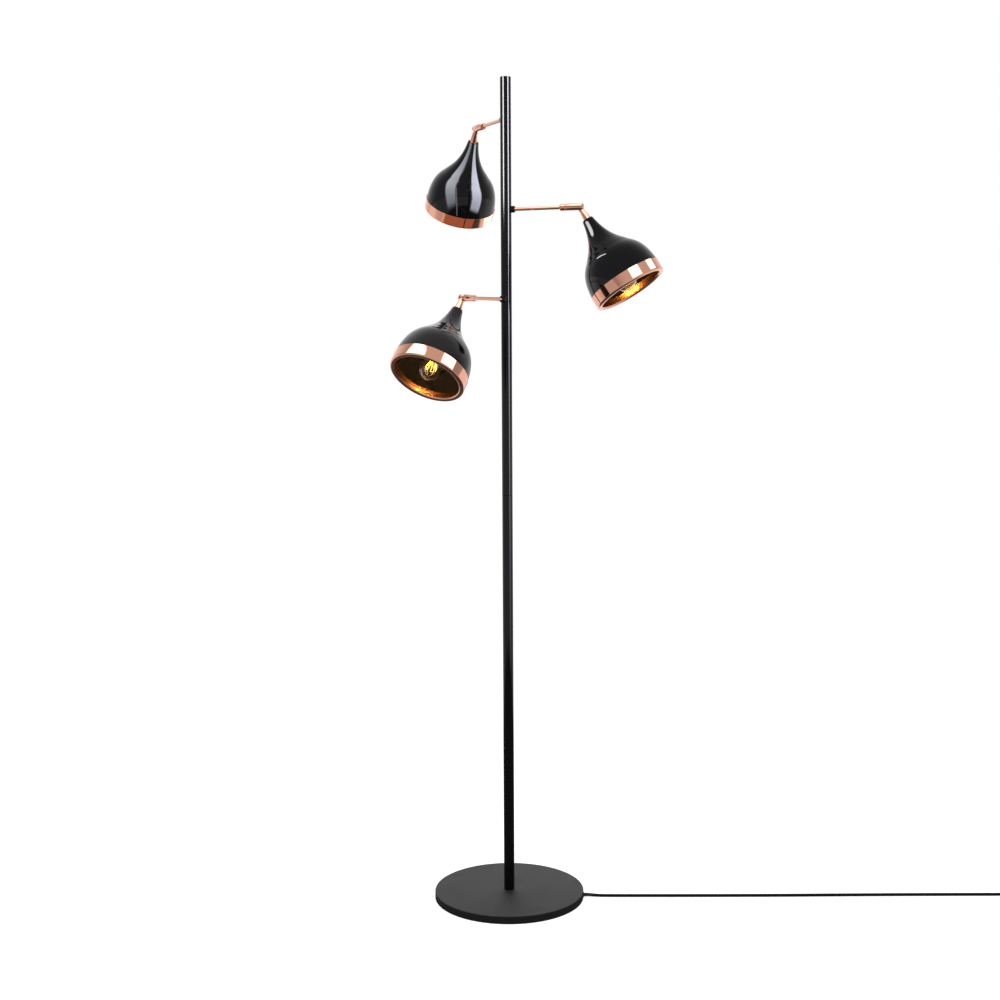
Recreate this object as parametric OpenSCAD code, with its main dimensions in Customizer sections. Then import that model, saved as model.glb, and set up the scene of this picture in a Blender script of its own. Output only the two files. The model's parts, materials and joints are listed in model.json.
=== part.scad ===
// Floor lamp with three spot heads on short arms: a round weighted base, a straight pole in two
// screwed lengths, three arms that each carry a swivelling and tilting head, and a cord with a foot
// switch and a flat plug. Millimetres, Z up, origin on the floor under the middle of the base, and
// the arm of the middle head points to the right.

/* [Base] */
// Diameter of the round base
base_d = 300; // [240:5:380]
// Height of the base's top face above the floor
base_h = 15.5; // [14.5:0.5:24]
// Thickness of the pressed cover
cover_wall = 1.5; // [1:0.1:2]
// Gap left between the floor and the cover's lower edge
cover_lift = 0.6; // [0.3:0.1:1]
// Rounding of the cover's top edge
cover_round = 1.2; // [0.5:0.1:3]
// Thickness of the foam pad that the lamp stands on
pad_t = 1.5; // [1:0.1:1.5]
// Width of the ring between the pad's edge and the cover's wall
pad_inset = 2.5; // [1:0.5:8]
// Diameter of the hole in the middle of the weight disc
weight_hole_d = 36; // [32:1:60]
// Outer diameter of the hollow threaded stud in the foot of the pole
stud_d = 12; // [11:0.5:13]
// Bore of the stud and of the pole's joiner, which the cable passes
stud_bore = 7; // [6.6:0.1:8]
// Length of thread that holds the pole to the base
stud_grip = 30; // [15:1:60]
// Diameter of the washer under the cover
washer_d = 28; // [22:1:31]
// Thickness of that washer
washer_t = 1.4; // [1:0.1:1.6]
// Size of the stud's nut across its flats
nut_flats = 19; // [16:0.5:20]
// Thickness of the stud's nut
nut_h = 3.4; // [2.5:0.1:3.6]

/* [Pole] */
// Height of the top of the pole
pole_top = 1622; // [1590:1:1900]
// Outer diameter of the pole
pole_d = 21; // [18:0.5:26]
// Wall of the pole's tubes
pole_wall = 1.5; // [1:0.1:2]
// Height of the seam between the two lengths of the pole
pole_seam_z = 818; // [500:1:1100]
// Length of the joiner that screws the two lengths together
joiner_len = 44; // [30:1:80]
// Chamfer on both tubes at the seam
seam_chamfer = 0.5; // [0.2:0.1:1]
// Height of the cap's rim that shows above the tube
cap_rim = 2; // [1:0.1:4]
// Length of the cap's plug inside the tube
cap_plug = 9; // [4:1:16]

/* [Arms] */
// Drop from the top of the pole to the highest arm
arm_drop = 78.5; // [60:0.5:140]
// Height between one arm and the next
arm_step = 171.5; // [160:0.5:200]
// Reach of an arm, from the pole's axis to the tilt hinge
arm_len = 150; // [130:1:200]
// Diameter of the arm's tube
arm_d = 7; // [6:0.1:7.6]
// Wall of the arm's tube
arm_wall = 1; // [0.6:0.1:1.2]
// Diameter of the black boss at the pole
boss_d = 13; // [11:0.5:16]
// How far the boss stands out of the pole
boss_len = 8; // [4:0.5:14]
// Diameter of the knuckle
knuckle_d = 13.4; // [12.8:0.1:15]
// Length of the knuckle and its collar, from the tilt hinge towards the pole
knuckle_len = 39; // [34:0.5:48]
// Length of the collar's ring at the end of the knuckle
collar_len = 10; // [3:0.5:14]
// Chamfer on both ends of the knuckle
knuckle_chamfer = 1.2; // [0.6:0.1:1.6]
// Thickness of the stem's tongue in the fork
tongue_t = 5; // [4:0.1:5.4]
// Diameter of the pivot screw's shank
pivot_d = 4; // [3:0.1:5]

/* [Heads] */
// Drop from the tilt hinge to the top edge of the shade's neck
neck_drop = 29; // [24:0.5:40]
// Diameter of the stem's cone at the fork
cone_top_d = 9.6; // [8:0.1:10.4]
// Diameter of the stem's cone where it enters the neck
cone_low_d = 15.8; // [13:0.1:16]
// Outer diameter of the shade's neck
neck_d = 21.6; // [20.6:0.1:26]
// Depth of the recess that the cone sits in
neck_recess = 3; // [1:0.5:4]
// Thickness of the plate across the neck
neck_plate = 2.2; // [1.5:0.1:3]
// Radius where the shade's outline turns from hollow to round
waist_r = 45; // [41:0.5:49]
// How far below the neck that turn is
waist_s = 71.5; // [66:0.5:76]
// Slope of the outline at that turn, away from the shade's axis
waist_slope = 38; // [34:1:44]
// Radius of the black shade where the copper band starts
shade_r = 71.2; // [69:0.2:76]
// How far below the neck the copper band starts
band_s = 135.5; // [130:0.5:146]
// Wall of the spun shade
shade_wall = 1; // [0.8:0.1:1.4]
// Height of the copper band
band_h = 24; // [20:0.5:30]
// Outer radius of the band at the rim
rim_r = 71.6; // [68:0.1:73]
// Inner radius of the rim's turned lip
lip_r = 61.5; // [56:0.5:63]
// How deep the band's inner wall reaches back into the shade
lip_depth = 15; // [8:0.5:18]
// Thickness of the band's sheet
band_t = 0.8; // [0.5:0.1:1]
// Rounding of both edges of the rim
rim_round = 4.2; // [1.5:0.1:4.5]
// Diameter of the bulb's globe
bulb_d = 45; // [40:0.5:50]
// How far the globe's front stays inside the rim
bulb_inset = 1.5; // [0:0.5:8]
// Diameter of the lamp holder
holder_d = 27.6; // [24:0.2:30]
// Length of the lamp holder
holder_len = 56; // [50:1:60]

/* [Cord] */
// Diameter of the round cord
cord_d = 6; // [5.6:0.1:6]
// Diameter of the foot switch
switch_d = 58; // [50:1:62]
// Height of the foot switch's housing
switch_h = 19; // [16:0.5:24]
// Diameter of the switch's button
button_d = 30; // [22:1:34]
// How far the button stands out of its housing
button_rise = 4.5; // [4:0.5:8]
// Travel of the button
button_travel = 3; // [2:0.5:3.5]

/* [Hidden] */
$fn = 96;

// Colours as the finishes look.
black_satin = [0.31, 0.30, 0.32];
black_gloss = [0.06, 0.06, 0.07];
copper = [0.86, 0.58, 0.46];
steel = [0.70, 0.71, 0.73];
black_plastic = [0.10, 0.10, 0.11];
glow = [1.00, 0.72, 0.25];

// Which way each arm points in plan, and how far its head tilts outwards from plumb.
arm_turn = [113, -22, -123];
head_tilt = [32, 33, 39];

// Clearances.
thread_gap = 0.02;
turn_gap = 0.05;
side_gap = 0.1;
cut = 1;

// Base and pole.
base_r = base_d / 2;
cover_in_r = base_r - cover_wall;
cover_under = base_h - cover_wall;
weight_gap = 0.5;
stud_r = stud_d / 2;
cord_r = cord_d / 2;
cable_z = pad_t + cord_r + 0.1;
stud_foot = cable_z + cord_r + 0.8;
stud_flare_r = stud_bore / 2 + 1.3;
stud_flare_h = 1.3;
pole_r = pole_d / 2;
pole_in_r = pole_r - pole_wall;
tube_top = pole_top - cap_rim;

// Where the cord leaves the base, and the parts in its channel.
cord_turn = -2.5;
channel_w = cord_d + 2;
channel_h = cord_d + 0.8;
grommet_r = cord_r + 0.9;
grommet_flange = 1.2;
clamp_len = 10;
clamp_r = base_r - 30;

// Arm and knuckle, along the arm from the pole's axis.
arm_top_z = pole_top - arm_drop;
arm_r = arm_d / 2;
arm_bore_r = arm_r - arm_wall;
knuckle_r = knuckle_d / 2;
knuckle_start = arm_len - knuckle_len;
collar_end = knuckle_start + collar_len;
shank_r = arm_r + 1.5;
shank_len = 7;
flange_t = 3;
flange_start = collar_end + shank_len + side_gap;
flange_end = flange_start + flange_t;
pocket_end = flange_end + side_gap;
boss_chamfer = 1.5;
branch_r = 1.3;
groove_w = 0.6;
groove_depth = 0.5;

// Fork, tongue and pivot, from the tilt hinge.
slot_w = tongue_t + 2 * side_gap;
slot_back = knuckle_r + 1.3;
tongue_r = knuckle_r - 0.5;
cone_start = knuckle_r + 2;
pivot_r = pivot_d / 2;
pivot_len = 2 * sqrt(knuckle_r * knuckle_r - pivot_r * pivot_r) - 0.4;
socket_r = 0.6 * pivot_r;
socket_depth = 1.6;

// Shade and band. s counts down from the neck's top edge.
neck_r = neck_d / 2;
cone_low_r = cone_low_d / 2;
recess_r = cone_low_r + 0.6;
nipple_r = 5;
plate_under = neck_recess + neck_plate;
rim_s = band_s + band_h;
band_out_r = shade_r + band_t + turn_gap;
rim_fold = min(rim_round, (rim_r - lip_r) / 2 - 0.2);
band_lean = (band_out_r - rim_r) / (band_h - rim_fold);
skirt = 12;
neck_slope = 9;
skirt_slope = 3;
curve_steps = 14;
neck_nut_flats = 14;
neck_nut_h = 3.2;

// Lamp holder and bulb, on the shade's axis.
bulb_r = bulb_d / 2;
globe_s = rim_s - bulb_inset - bulb_r;
glass_wall = 0.8;
bulb_neck_s = globe_s - bulb_r - 10;
cap_r = 7;
cap_len = 23.5;
cap_tip_s = bulb_neck_s - cap_len;
holder_low_s = bulb_neck_s - 2;
holder_top_s = holder_low_s - holder_len;
holder_r = holder_d / 2;
nipple_end_s = holder_top_s + 8;

// Foot switch, coil and plug on the floor, past the right-hand end of the straight cord.
floor_z = cord_r + 0.1;
switch_x = 1071;
switch_y = -13;
switch_neck_z = 6;
switch_reach = 43;
switch_r = switch_d / 2;
button_r = button_d / 2;
button_depth = 8;
coil_x = 1148;
coil_out_r = 42;
coil_pitch = cord_d + 0.7;
coil_loops = 4.5;
coil_rings = 24;
coil_y = switch_y + coil_out_r;
coil_low_z = floor_z;
coil_high_z = coil_low_z + coil_pitch;
plug_x = 1112;
plug_y = coil_y + coil_out_r;
plug_z = 7;

// Route of the cord on the floor, from the grommet to the foot switch.
cord_exit = (base_r + grommet_flange);
run_route = [
    [cord_exit * cos(cord_turn), cord_exit * sin(cord_turn), cable_z],
    [160, -7, cable_z],
    [180, -7.9, 3.2],
    [210, -9, floor_z],
    [270, -10, floor_z],
    [350, -11, floor_z],
    [450, -12, floor_z],
    [560, -12.5, floor_z],
    [680, -12, floor_z],
    [800, -12, floor_z],
    [900, -12.5, floor_z],
    [960, -13, floor_z],
    [992, -13, floor_z],
    [1007, -13, 4.6],
    [1021, -13, switch_neck_z],
    [switch_x - switch_reach, switch_y, switch_neck_z]
];
run_sides = 8;
run_ring_step = 15;

// ---- Curves and sweeps ----

function unit(v) = v / norm(v);
function bezier(p, t) =
    pow(1 - t, 3) * p[0] + 3 * pow(1 - t, 2) * t * p[1] + 3 * (1 - t) * t * t * p[2] + pow(t, 3) * p[3];
function along(angle) = [sin(angle), cos(angle)];
function arc(centre, r, from, to, steps) =
    [for (i = [0:steps]) let (a = from + (to - from) * i / steps) centre + r * [cos(a), sin(a)]];
function reversed(list) = [for (i = [len(list) - 1:-1:0]) list[i]];
// A smooth curve through a, b with its neighbours before and after.
function smooth(before, a, b, after, t) =
    0.5 * (2 * a + (b - before) * t + (2 * before - 5 * a + 4 * b - after) * t * t
        + (3 * a - before - 3 * b + after) * t * t * t);
function through(route, step) =
    let (last = len(route) - 1)
    concat([for (i = [0:last - 1])
        let (count = max(1, round(norm(route[i + 1] - route[i]) / step)))
        for (k = [0:count - 1])
            smooth(route[max(i - 1, 0)], route[i], route[i + 1], route[min(i + 2, last)], k / count)],
        [route[last]]);
function heading(path, i) = unit(path[min(i + 1, len(path) - 1)] - path[max(i - 1, 0)]);
function ring_at(path, i, r, sides) =
    let (ahead = heading(path, i), side = unit(cross([0, 0, 1], ahead)), up = cross(ahead, side))
    [for (k = [0:sides - 1]) let (a = 360 * k / sides) path[i] + r * (cos(a) * side + sin(a) * up)];

// A closed tube of one ring of points per point of its path.
module tube(path, r, sides) {
    rings = len(path);
    points = [for (i = [0:rings - 1]) each ring_at(path, i, r, sides)];
    walls = [for (i = [0:rings - 2], k = [0:sides - 1])
        let (a = i * sides + k, b = i * sides + (k + 1) % sides)
        each [[a, a + sides, b], [b, a + sides, b + sides]]];
    last = (rings - 1) * sides;
    start = [for (k = [1:sides - 2]) [0, k, k + 1]];
    end = [for (k = [1:sides - 2]) [last, last + k + 1, last + k]];
    polyhedron(points, concat(walls, start, end));
}

module rod(from, to, r) {
    v = to - from;
    translate(from)
        rotate([0, acos(v.z / norm(v)), atan2(v.y, v.x)])
            cylinder(h = norm(v), r = r, $fn = 24);
}

module pipe(h, r_out, r_in) {
    difference() {
        cylinder(h = h, r = r_out);
        translate([0, 0, -cut]) cylinder(h = h + 2 * cut, r = r_in);
    }
}

// Puts what is drawn along +Z onto +X.
module to_x() {
    rotate([0, 90, 0]) children();
}

// ---- Base ----

module at_cord() {
    rotate([0, 0, cord_turn]) children();
}

module grommet_outline(r) {
    union() {
        circle(r);
        translate([-r, -cable_z]) square([2 * r, cable_z]);
    }
}

module across_wall(r, from, len) {
    at_cord() translate([from, 0, cable_z]) rotate([90, 0, 90]) linear_extrude(len) grommet_outline(r);
}

module base_cover() {
    color(black_satin)
        difference() {
            rotate_extrude()
                polygon(concat(
                    [[stud_r + side_gap, base_h]],
                    reversed(arc([base_r - cover_round, base_h - cover_round], cover_round, 0, 90, 8)),
                    [[base_r, cover_lift], [cover_in_r, cover_lift],
                     [cover_in_r, cover_under], [stud_r + side_gap, cover_under]]));
            across_wall(grommet_r, cover_in_r - 2 * cut, cover_wall + 4 * cut);
        }
}

module base_weight() {
    color(steel)
        difference() {
            translate([0, 0, pad_t])
                pipe(cover_under - pad_t, cover_in_r - weight_gap, weight_hole_d / 2);
            at_cord()
                translate([0, -channel_w / 2, pad_t - cut])
                    cube([base_r, channel_w, channel_h + cut]);
            at_cord()
                translate([cover_in_r - weight_gap - 2 * grommet_flange, -channel_w, pad_t - cut])
                    cube([base_r, 2 * channel_w, channel_h + 3 * cut]);
        }
}

module base_pad() {
    color(black_plastic)
        cylinder(h = pad_t, r = cover_in_r - pad_inset);
}

module base_stud() {
    color(steel)
        difference() {
            translate([0, 0, stud_foot]) pipe(base_h + stud_grip - stud_foot, stud_r, stud_bore / 2);
            translate([0, 0, stud_foot - cut])
                cylinder(h = cut, r = stud_flare_r);
            translate([0, 0, stud_foot])
                cylinder(h = stud_flare_h, r1 = stud_flare_r, r2 = stud_bore / 2);
        }
}

module base_washer() {
    color(steel)
        translate([0, 0, cover_under - washer_t])
            pipe(washer_t, washer_d / 2, stud_r + side_gap);
}

module base_nut() {
    color(steel)
        translate([0, 0, cover_under - washer_t - nut_h])
            difference() {
                cylinder(h = nut_h, r = nut_flats / sqrt(3), $fn = 6);
                translate([0, 0, -cut]) cylinder(h = nut_h + 2 * cut, r = stud_r + thread_gap);
            }
}

module cord_grommet() {
    color(black_plastic)
        difference() {
            union() {
                across_wall(grommet_r, cover_in_r - 0.5, cover_wall + 1);
                across_wall(grommet_r + 1, base_r, grommet_flange);
                across_wall(grommet_r + 1, cover_in_r - grommet_flange - 0.2, grommet_flange);
            }
            at_cord()
                translate([cover_in_r - 2 * grommet_flange, 0, cable_z])
                    to_x() cylinder(h = cover_wall + 4 * grommet_flange, r = cord_r + thread_gap);
            translate([0, 0, -base_d + cover_lift]) cylinder(h = base_d, r = 2 * base_d);
        }
}

module cord_clamp() {
    color(black_plastic)
        at_cord()
            difference() {
                translate([clamp_r, -channel_w / 2 + 0.2, pad_t])
                    cube([clamp_len, channel_w - 0.4, channel_h - 0.2]);
                translate([clamp_r - cut, 0, cable_z])
                    to_x() cylinder(h = clamp_len + 2 * cut, r = cord_r + thread_gap);
            }
}

// ---- Pole ----

module threaded_tube(low, high, grip_low, grip_high) {
    difference() {
        translate([0, 0, low]) cylinder(h = high - low, r = pole_r);
        translate([0, 0, low - cut]) cylinder(h = high - low + 2 * cut, r = stud_r + thread_gap);
        translate([0, 0, low + grip_low])
            cylinder(h = high - low - grip_low - grip_high + (grip_high == 0 ? cut : 0), r = pole_in_r);
        children();
    }
}

// A ring that cuts a chamfer off the tube's edge at this height; up is 1 for a top edge.
module edge_chamfer(z, up) {
    translate([0, 0, z])
        rotate_extrude()
            polygon([[pole_r - seam_chamfer, up * cut / 10], [pole_r + cut, up * cut / 10],
                     [pole_r + cut, -up * seam_chamfer], [pole_r, -up * seam_chamfer],
                     [pole_r - seam_chamfer, 0]]);
}

module pole_lower() {
    color(black_gloss)
        threaded_tube(base_h, pole_seam_z, stud_grip + 2, joiner_len / 2 + 2)
            edge_chamfer(pole_seam_z, 1);
}

module pole_joiner() {
    color(steel)
        translate([0, 0, pole_seam_z - joiner_len / 2])
            pipe(joiner_len, stud_r, stud_bore / 2);
}

module pole_upper() {
    color(black_gloss)
        threaded_tube(pole_seam_z, tube_top, joiner_len / 2 + 2, 0) {
            edge_chamfer(pole_seam_z, -1);
            for (i = [0:2])
                at_arm(i) translate([cut, 0, 0]) to_x() cylinder(h = pole_d, r = arm_r + thread_gap);
        }
}

module pole_cap() {
    cap_round = min(0.8, cap_rim / 2);
    color(black_gloss)
        rotate_extrude()
            polygon(concat(
                [[0, tube_top - cap_plug], [pole_in_r - thread_gap, tube_top - cap_plug],
                 [pole_in_r - thread_gap, tube_top], [pole_r, tube_top]],
                arc([pole_r - cap_round, pole_top - cap_round], cap_round, 0, 90, 6),
                [[0, pole_top]]));
}

module wiring() {
    color(black_plastic)
        union() {
            at_cord() translate([0, 0, cable_z]) to_x() cylinder(h = cord_exit, r = cord_r);
            translate([0, 0, cable_z]) sphere(cord_r);
            translate([0, 0, cable_z]) cylinder(h = arm_top_z - cable_z, r = cord_r);
            for (i = [0:2])
                at_arm(i) to_x() cylinder(h = flange_end, r = branch_r);
        }
}

// ---- Arms, collars, knuckles and pivots ----

module at_arm(i) {
    translate([0, 0, arm_top_z - i * arm_step]) rotate([0, 0, arm_turn[i]]) children();
}

module boss(i) {
    color(black_gloss)
        difference() {
            at_arm(i)
                to_x()
                    difference() {
                        union() {
                            cylinder(h = pole_r + boss_len - boss_chamfer, r = boss_d / 2);
                            translate([0, 0, pole_r + boss_len - boss_chamfer])
                                cylinder(h = boss_chamfer, r1 = boss_d / 2, r2 = boss_d / 2 - boss_chamfer);
                        }
                        translate([0, 0, -cut])
                            cylinder(h = pole_r + boss_len + 2 * cut, r = arm_r + thread_gap);
                    }
            cylinder(h = pole_top, r = pole_r + thread_gap);
        }
}

module arm(i) {
    start = pole_in_r - 0.5;
    color(copper)
        at_arm(i)
            to_x()
                difference() {
                    union() {
                        translate([0, 0, start]) cylinder(h = flange_end - start, r = arm_r);
                        translate([0, 0, flange_start]) cylinder(h = flange_t, r = shank_r - turn_gap);
                    }
                    translate([0, 0, start - cut])
                        cylinder(h = flange_end - start + 2 * cut, r = arm_bore_r);
                }
}

module collar(i) {
    color(copper)
        at_arm(i)
            to_x()
                difference() {
                    union() {
                        translate([0, 0, knuckle_start])
                            cylinder(h = knuckle_chamfer, r1 = knuckle_r - knuckle_chamfer, r2 = knuckle_r);
                        translate([0, 0, knuckle_start + knuckle_chamfer])
                            cylinder(h = collar_len - knuckle_chamfer - groove_w, r = knuckle_r);
                        translate([0, 0, collar_end - groove_w])
                            cylinder(h = groove_w, r = knuckle_r - groove_depth);
                        translate([0, 0, collar_end - cut])
                            cylinder(h = shank_len + cut, r = shank_r - thread_gap);
                    }
                    translate([0, 0, knuckle_start - cut])
                        cylinder(h = knuckle_len, r = arm_r + turn_gap);
                }
}

module knuckle(i) {
    body_start = collar_end - arm_len;
    color(copper)
        at_arm(i)
            translate([arm_len, 0, 0])
                difference() {
                    union() {
                        translate([body_start, 0, 0])
                            to_x() cylinder(h = knuckle_r - knuckle_chamfer - body_start, r = knuckle_r);
                        translate([knuckle_r - knuckle_chamfer, 0, 0])
                            to_x()
                                cylinder(h = knuckle_chamfer, r1 = knuckle_r, r2 = knuckle_r - knuckle_chamfer);
                    }
                    // Fork slot.
                    translate([-slot_back, -slot_w / 2, -knuckle_d])
                        cube([2 * knuckle_d, slot_w, 2 * knuckle_d]);
                    // Pocket for the arm's flange and the collar's shank, and the wire's hole.
                    translate([body_start - cut, 0, 0])
                        to_x() cylinder(h = pocket_end - collar_end + cut, r = shank_r);
                    translate([body_start, 0, 0])
                        to_x() cylinder(h = -body_start, r = arm_bore_r);
                    // Hole for the pivot.
                    rotate([90, 0, 0]) cylinder(h = 2 * knuckle_d, r = pivot_r + thread_gap, center = true);
                }
}

module pivot(i) {
    color(copper)
        at_arm(i)
            translate([arm_len, 0, 0])
                rotate([90, 0, 0])
                    difference() {
                        cylinder(h = pivot_len, r = pivot_r, center = true);
                        translate([0, 0, pivot_len / 2 - socket_depth])
                            cylinder(h = socket_depth + cut, r = socket_r, $fn = 6);
                    }
}

// ---- Heads ----

module at_head(i) {
    at_arm(i) translate([arm_len, 0, 0]) rotate([0, -head_tilt[i], 0]) children();
}

// Turns an outline of [radius, s] points into a solid that hangs from the neck's top edge.
module hang() {
    translate([0, 0, -neck_drop]) mirror([0, 0, 1]) rotate_extrude() children();
}

module stem(i) {
    cone_h = neck_drop + neck_recess - cone_start;
    color(copper)
        at_head(i)
            difference() {
                union() {
                    rotate([90, 0, 0]) cylinder(h = tongue_t, r = tongue_r, center = true);
                    translate([-cone_top_d / 2, -tongue_t / 2, -cone_start - cut / 2])
                        cube([cone_top_d, tongue_t, cone_start + cut / 2]);
                    translate([0, 0, -cone_start - cone_h])
                        cylinder(h = cone_h, r1 = cone_low_r, r2 = cone_top_d / 2);
                    hang()
                        polygon([[0, neck_recess - cut], [nipple_r, neck_recess - cut],
                                 [nipple_r, nipple_end_s], [0, nipple_end_s]]);
                }
                rotate([90, 0, 0]) cylinder(h = 2 * tongue_t, r = pivot_r + turn_gap, center = true);
                translate([0, 0, -neck_drop - nipple_end_s - cut])
                    cylinder(h = neck_drop + nipple_end_s - cone_start, r = arm_bore_r);
            }
}

module neck_nut(i) {
    color(steel)
        at_head(i)
            translate([0, 0, -neck_drop - plate_under - neck_nut_h])
                difference() {
                    cylinder(h = neck_nut_h, r = neck_nut_flats / sqrt(3), $fn = 6);
                    translate([0, 0, -cut])
                        cylinder(h = neck_nut_h + 2 * cut, r = nipple_r + thread_gap);
                }
}

// Outline of the black shade's outside: hollow from the neck to the waist, then round to the band.
shade_outline =
    let (neck = [neck_r, 0], waist = [waist_r, waist_s], edge = [shade_r, band_s],
         flare = [neck, neck + 47 * along(neck_slope), waist - 14 * along(waist_slope), waist],
         dome = [waist, waist + 13 * along(waist_slope), edge - 45 * along(skirt_slope), edge])
    concat([for (i = [0:curve_steps - 1]) bezier(flare, i / curve_steps)],
           [for (i = [0:curve_steps]) bezier(dome, i / curve_steps)],
           [edge + skirt * [-band_lean, 1]]);

// The same outline one wall further in.
shade_inside = [for (i = [0:len(shade_outline) - 1])
    let (next = shade_outline[min(i + 1, len(shade_outline) - 1)],
         back = shade_outline[max(i - 1, 0)],
         way = unit(next - back))
    shade_outline[i] + shade_wall * [-way.y, way.x]];

module shade(i) {
    inside_r = lookup(plate_under, [for (p = shade_inside) [p.y, p.x]]);
    color(black_gloss)
        at_head(i)
            hang()
                polygon(concat(
                    shade_outline,
                    reversed([for (p = shade_inside) if (p.y > plate_under + 0.5) p]),
                    [[inside_r, plate_under], [nipple_r + thread_gap, plate_under],
                     [nipple_r + thread_gap, neck_recess], [recess_r, neck_recess], [recess_r, 0]]));
}

// One skin of the band's folded sheet: down the outside, across the lip and up the inside.
function band_skin(in) = concat(
    [[band_out_r - in, band_s]],
    arc([rim_r - rim_fold, rim_s - rim_fold], rim_fold - in, 0, 90, 6),
    arc([lip_r + rim_fold, rim_s - rim_fold], rim_fold - in, 90, 180, 6),
    [[lip_r + 1 + in, rim_s - lip_depth]]);

module rim_band(i) {
    color(copper)
        at_head(i) hang() polygon(concat(band_skin(0), reversed(band_skin(band_t))));
}

module lamp_holder(i) {
    color(black_plastic)
        at_head(i)
            hang()
                polygon([
                    [nipple_r + thread_gap, holder_top_s], [9, holder_top_s],
                    [holder_r - 1, holder_top_s + 8], [holder_r - 1, holder_top_s + 24],
                    [holder_r, holder_top_s + 25], [holder_r, holder_low_s - 1],
                    [holder_r - 1, holder_low_s], [cap_r + 0.8, holder_low_s],
                    [cap_r + 0.8, cap_tip_s], [0, cap_tip_s], [0, nipple_end_s],
                    [nipple_r + thread_gap, nipple_end_s]]);
}

module bulb_glass(i) {
    join = 128;
    function skin(in) =
        let (r = bulb_r - in,
             from = [cap_r - 0.2 - in, bulb_neck_s],
             to = [r * sin(join), globe_s + r * cos(join)])
        concat(
            [for (k = [0:7])
                bezier([from, from + [0, 7], to - 5 * [-cos(join), sin(join)], to], k / 8)],
            [for (k = [0:20]) let (a = join * (1 - k / 20)) [r * sin(a), globe_s + r * cos(a)]]);
    color([0.9, 0.9, 0.9, 0.35])
        at_head(i) hang() polygon(concat(skin(0), reversed(skin(glass_wall))));
}

module bulb_cap(i) {
    thread_pitch = 2.8;
    thread_start = cap_tip_s + 5;
    color(steel)
        at_head(i)
            hang()
                polygon(concat(
                    [[0, cap_tip_s], [2.4, cap_tip_s], [2.4, cap_tip_s + 1.5], [6, cap_tip_s + 4]],
                    [for (k = [0:24])
                        [cap_r - 0.35 + 0.35 * sin(k * 72 - 90), thread_start + k * thread_pitch / 5]],
                    [[cap_r, bulb_neck_s - 3], [cap_r, bulb_neck_s], [0, bulb_neck_s]]));
}

module filament(i) {
    mount_s = bulb_neck_s + 12;
    post_s = globe_s + 6;
    low_r = 4.5;
    high_r = 8.5;
    color(glow)
        at_head(i)
            translate([0, 0, -neck_drop])
                mirror([0, 0, 1])
                    union() {
                        translate([0, 0, bulb_neck_s]) cylinder(h = 12, r1 = 4.4, r2 = 1.6, $fn = 24);
                        translate([0, 0, mount_s - cut])
                            cylinder(h = post_s - mount_s + cut + 1, r = 0.9, $fn = 24);
                        for (k = [0:5]) {
                            foot = [low_r * cos(60 * k), low_r * sin(60 * k), mount_s];
                            head = [high_r * cos(60 * k), high_r * sin(60 * k), post_s];
                            rod(foot, head, 0.7);
                            rod([0, 0, mount_s - 0.2], foot, 0.35);
                            rod([0, 0, post_s + 0.2], head, 0.35);
                        }
                    }
}

// ---- Cord, foot switch, coil and plug ----

module cord_run() {
    color(black_plastic)
        tube(through(run_route, run_ring_step), cord_r, run_sides);
}

// A ribbed cord neck along +X whose narrow end is at the origin.
module cord_neck(len, r_end, r_body) {
    grooves = 3;
    to_x()
        rotate_extrude()
            polygon(concat(
                [[0, 0], [r_end, 0]],
                [for (k = [0:grooves - 1], side = [0, 1, 2, 3])
                    let (t = (k + 0.45 + side * 0.15) / (grooves + 0.5), deep = (side == 1 || side == 2) ? 0.6 : 0)
                    [r_end + (r_body - r_end) * t - deep, len * t]],
                [[r_body, len], [0, len]]));
}

module foot_switch() {
    edge = 5;
    foot_in = 1.5;
    color(black_plastic)
        difference() {
            union() {
                translate([switch_x, switch_y, 0])
                    rotate_extrude()
                        polygon(concat(
                            [[0, 0], [switch_r - foot_in, 0], [switch_r, foot_in]],
                            arc([switch_r - edge, switch_h - edge], edge, 0, 75, 8),
                            [[0, switch_h]]));
                for (side = [0, 180])
                    translate([switch_x, switch_y, switch_neck_z])
                        rotate([0, 0, side])
                            translate([-switch_reach, 0, 0])
                                cord_neck(switch_reach - switch_r + 3, cord_r + 1.1, cord_r + 2.6);
            }
            translate([switch_x, switch_y, switch_h - button_depth])
                cylinder(h = button_depth + 5 * cut, r = button_r + turn_gap);
        }
}

module switch_button() {
    crown = 1.4;
    color(black_plastic)
        translate([switch_x, switch_y, 0])
            rotate_extrude()
                polygon([
                    [0, switch_h - button_depth + button_travel + 0.3],
                    [button_r, switch_h - button_depth + button_travel + 0.3],
                    [button_r, switch_h + button_rise - crown],
                    [button_r - crown, switch_h + button_rise],
                    [button_r * 0.5, switch_h + button_rise - 0.6],
                    [0, switch_h + button_rise - 0.8]]);
}

// The coil spirals in on the floor, climbs one layer in the half turn where it reverses, and
// spirals out again on top.
function eased(t) = let (u = min(max(t, 0), 1)) u * u * (3 - 2 * u);
function coil_radius(turn) = coil_out_r - coil_pitch * min(turn, coil_loops - turn);
function coil_height(turn) =
    coil_low_z + (coil_high_z - coil_low_z) * eased((turn - coil_loops / 2) * 2 + 0.5);
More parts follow.
